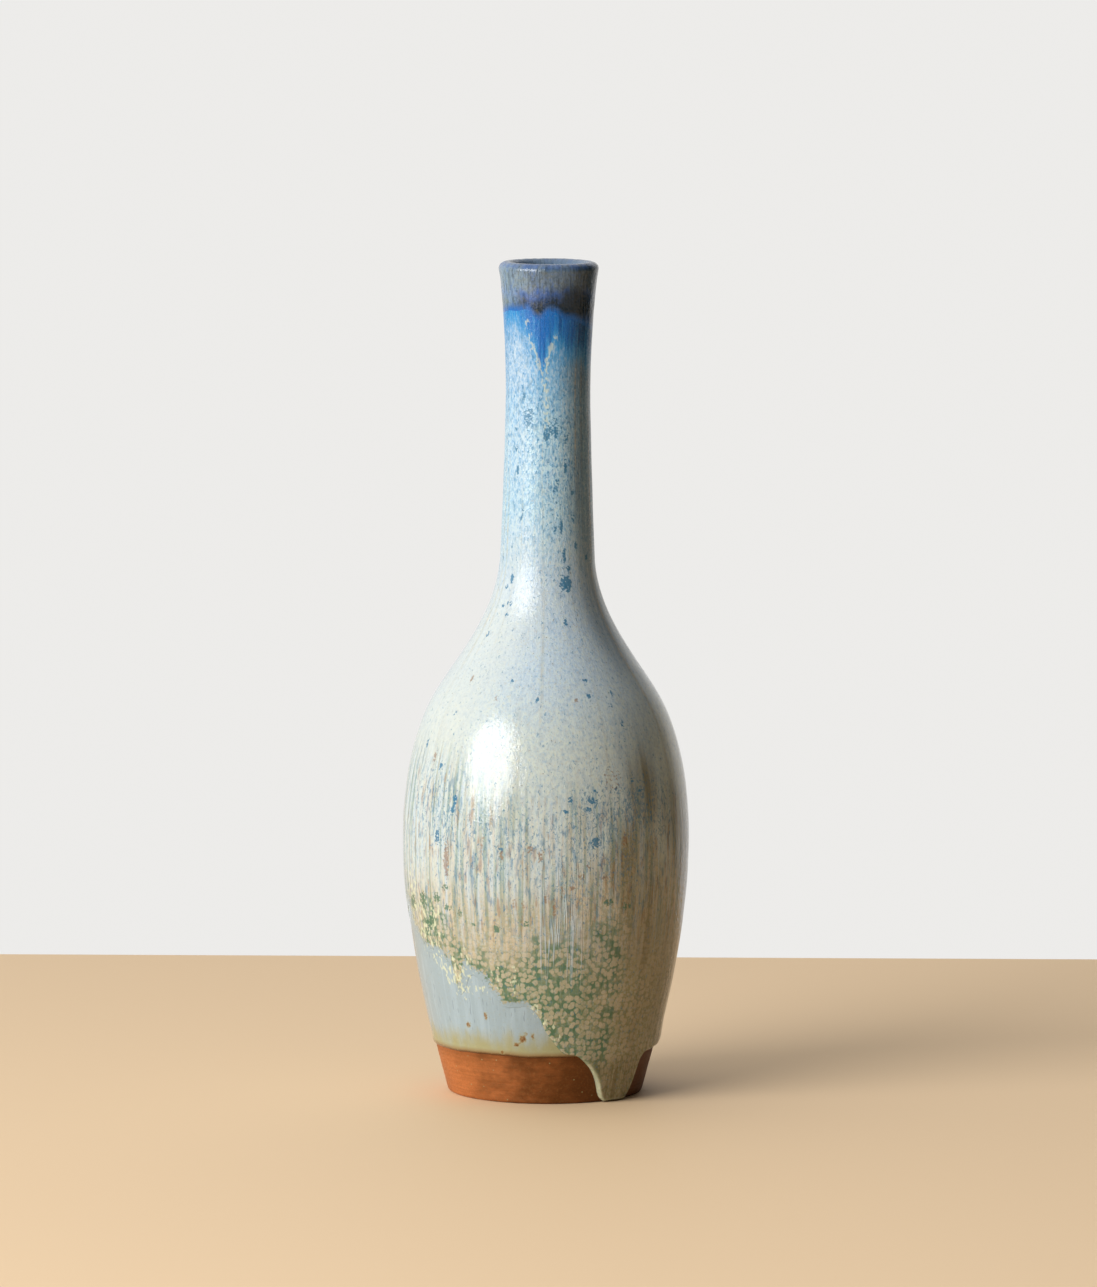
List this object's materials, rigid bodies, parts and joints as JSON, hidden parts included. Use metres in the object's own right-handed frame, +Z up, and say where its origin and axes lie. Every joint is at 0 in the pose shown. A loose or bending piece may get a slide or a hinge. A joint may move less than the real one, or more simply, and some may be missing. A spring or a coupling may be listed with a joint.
{
  "type": "ceramic bud vase",
  "caption": "Tall slender bottle-shaped ceramic bud vase with a rounded belly, long narrow neck, flowing glazes and a bare clay foot; holds a stem or two in water.",
  "frame": {"origin": "on the table, at the centre of the foot", "axes": "+Z up along the neck and out of the mouth; the front, with the glaze run that reaches the foot, faces -Y"},
  "size_m": [0.0656, 0.0656, 0.19],
  "materials": {
    "bare_clay": "matt fired iron-bearing stoneware, toasted orange to red-brown",
    "base_glaze": "satin pale blue-grey glaze with an olive edge and a few iron spots",
    "overglaze": "satin-gloss pale blue glaze, streaked and broken into beige cells in a green net lower down",
    "lip_glaze": "glossy slate and navy blue glaze",
    "liner_glaze": "satin grey-blue liner glaze"
  },
  "bodies": {
    "root": {"clay_body": "bare_clay", "base_glaze": "base_glaze", "overglaze": "overglaze", "lip_glaze": "lip_glaze", "liner_glaze": "liner_glaze"}
  },
  "joints": []
}
